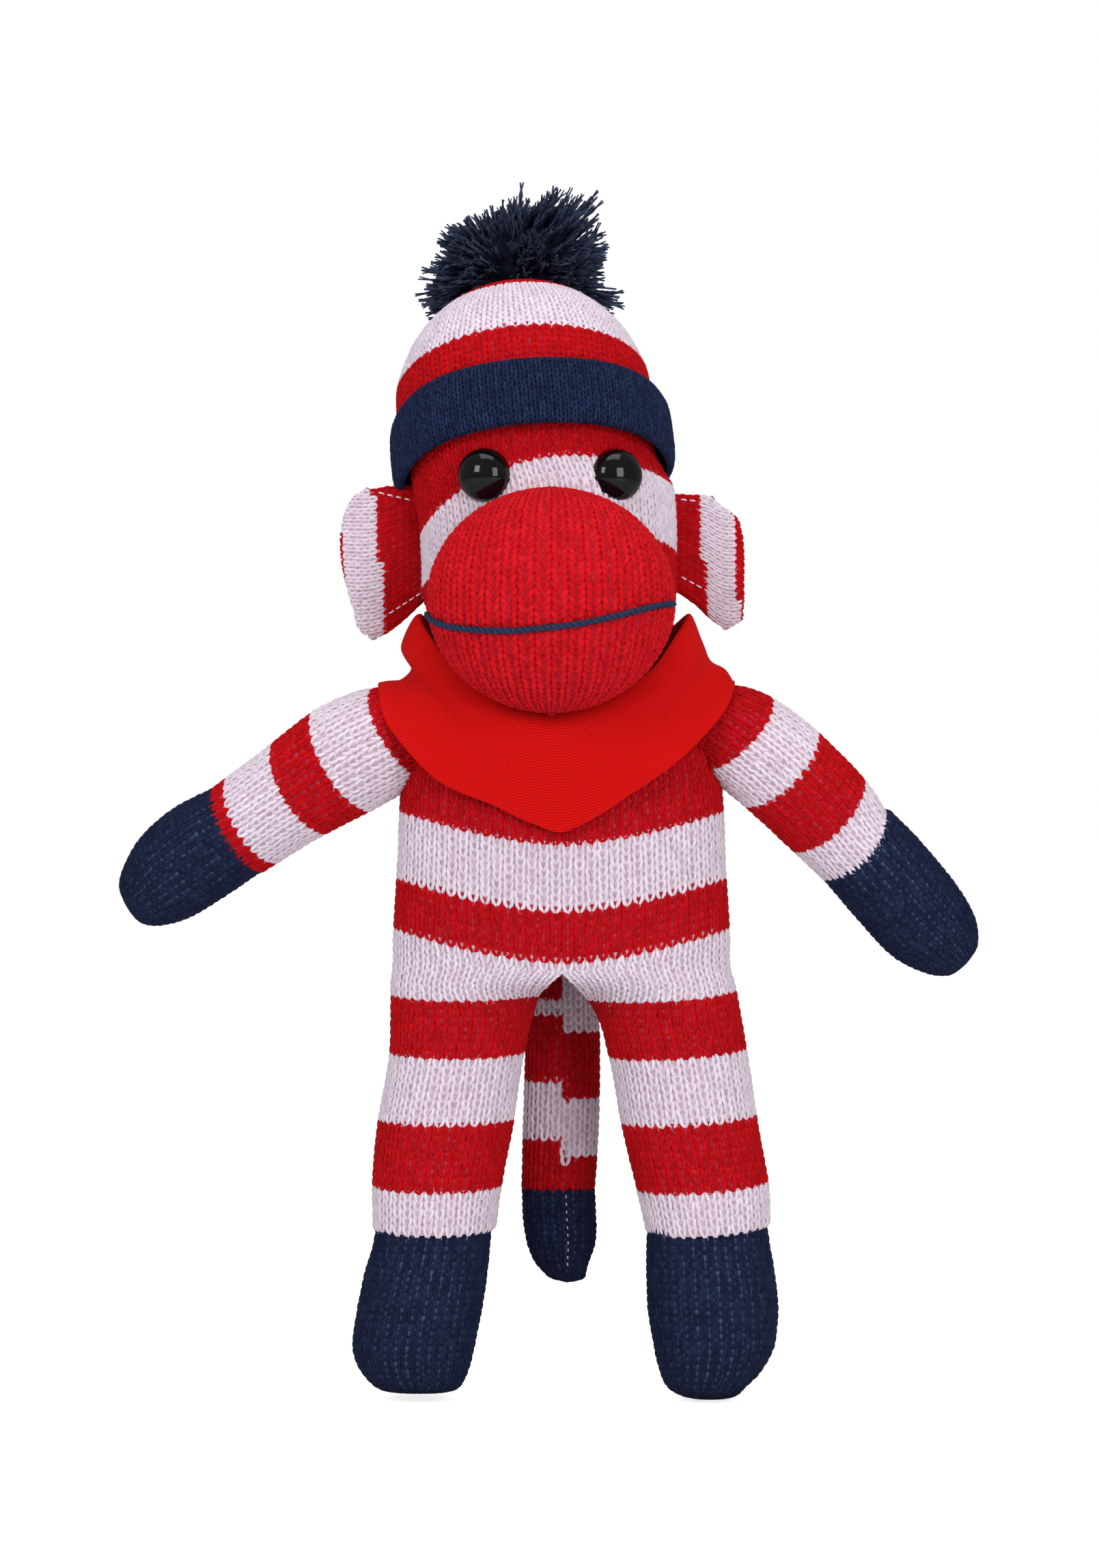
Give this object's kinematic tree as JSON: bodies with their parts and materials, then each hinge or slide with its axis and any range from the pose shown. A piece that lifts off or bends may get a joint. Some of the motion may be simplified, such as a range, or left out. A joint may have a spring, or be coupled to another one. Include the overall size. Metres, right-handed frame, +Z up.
{
  "type": "sock monkey doll",
  "caption": "Stuffed knitted monkey doll with striped body, navy hands and feet, bobble hat, red muzzle and a neck bandana; jointed at neck, shoulders, hips, ears and tail.",
  "frame": {"origin": "on the floor, under the middle of the doll's outer box, with the doll upright on its feet", "axes": "+Z up, -Y the way the doll faces, +X the doll's own left"},
  "size_m": [0.1947, 0.0968, 0.2713],
  "materials": {
    "striped_knit": "matte",
    "navy_knit": "matte",
    "muzzle_knit": "matte",
    "jersey": "matte",
    "pompom_yarn": "matte",
    "mouth_yarn": "matte",
    "tie_yarn": "matte",
    "sewing_thread": "matte",
    "eye_black": "gloss",
    "washer_white": "satin"
  },
  "bodies": {
    "torso": {"torso": "striped_knit", "bandana": "jersey", "bandana_knot": "jersey"},
    "neck": {"neck_tie": "tie_yarn"},
    "head": {"head": "striped_knit", "muzzle": "muzzle_knit", "mouth_yarn": "mouth_yarn", "eye_left": "eye_black", "eye_right": "eye_black", "eye_washer_left": "washer_white", "eye_washer_right": "washer_white", "hat_crown": "striped_knit", "hat_cuff": "navy_knit", "pompom": "pompom_yarn"},
    "ear_left": {"ear_left": "striped_knit"},
    "ear_right": {"ear_right": "striped_knit"},
    "shoulder_left": {"shoulder_thread_left": "sewing_thread"},
    "shoulder_right": {"shoulder_thread_right": "sewing_thread"},
    "arm_left": {"arm_left": "striped_knit", "hand_left": "navy_knit"},
    "arm_right": {"arm_right": "striped_knit", "hand_right": "navy_knit"},
    "leg_left": {"leg_left": "striped_knit", "foot_left": "navy_knit"},
    "leg_right": {"leg_right": "striped_knit", "foot_right": "navy_knit"},
    "tail": {"tail": "striped_knit", "tail_tip": "navy_knit"}
  },
  "joints": [
    {"name": "neck_turn", "type": "hinge", "parent": "torso", "child": "neck", "pos_m": [0.0029, 0, 0.159], "axis": [0, 0, 1], "range_deg": [-30, 30]},
    {"name": "head_nod", "type": "hinge", "parent": "neck", "child": "head", "pos_m": [0.0029, 0, 0.159], "axis": [1, 0, 0], "range_deg": [-8, 10]},
    {"name": "ear_flap_left", "type": "hinge", "parent": "head", "child": "ear_left", "pos_m": [0.0302, 0.002, 0.1858], "axis": [0, 0, 1], "range_deg": [-20, 20]},
    {"name": "ear_flap_right", "type": "hinge", "parent": "head", "child": "ear_right", "pos_m": [-0.0302, 0.002, 0.1858], "axis": [0, 0, -1], "range_deg": [-20, 20]},
    {"name": "arm_swing_left", "type": "hinge", "parent": "torso", "child": "shoulder_left", "pos_m": [0.0404, 0, 0.1483], "axis": [-1, 0, 0], "range_deg": [-30, 40]},
    {"name": "arm_raise_left", "type": "hinge", "parent": "shoulder_left", "child": "arm_left", "pos_m": [0.0404, 0, 0.1483], "axis": [0, -1, 0], "range_deg": [-10, 60]},
    {"name": "arm_swing_right", "type": "hinge", "parent": "torso", "child": "shoulder_right", "pos_m": [-0.0346, 0, 0.1483], "axis": [-1, 0, 0], "range_deg": [-30, 40]},
    {"name": "arm_raise_right", "type": "hinge", "parent": "shoulder_right", "child": "arm_right", "pos_m": [-0.0346, 0, 0.1483], "axis": [0, 1, 0], "range_deg": [-23, 46]},
    {"name": "hip_left", "type": "hinge", "parent": "torso", "child": "leg_left", "pos_m": [0.0256, 0, 0.0875], "axis": [-1, 0, 0], "range_deg": [-15, 75]},
    {"name": "hip_right", "type": "hinge", "parent": "torso", "child": "leg_right", "pos_m": [-0.0198, 0, 0.0875], "axis": [-1, 0, 0], "range_deg": [-15, 75]},
    {"name": "tail_swing", "type": "hinge", "parent": "torso", "child": "tail", "pos_m": [0.0024, 0.0235, 0.108], "axis": [1, 0, 0], "range_deg": [0, 60]}
  ]
}
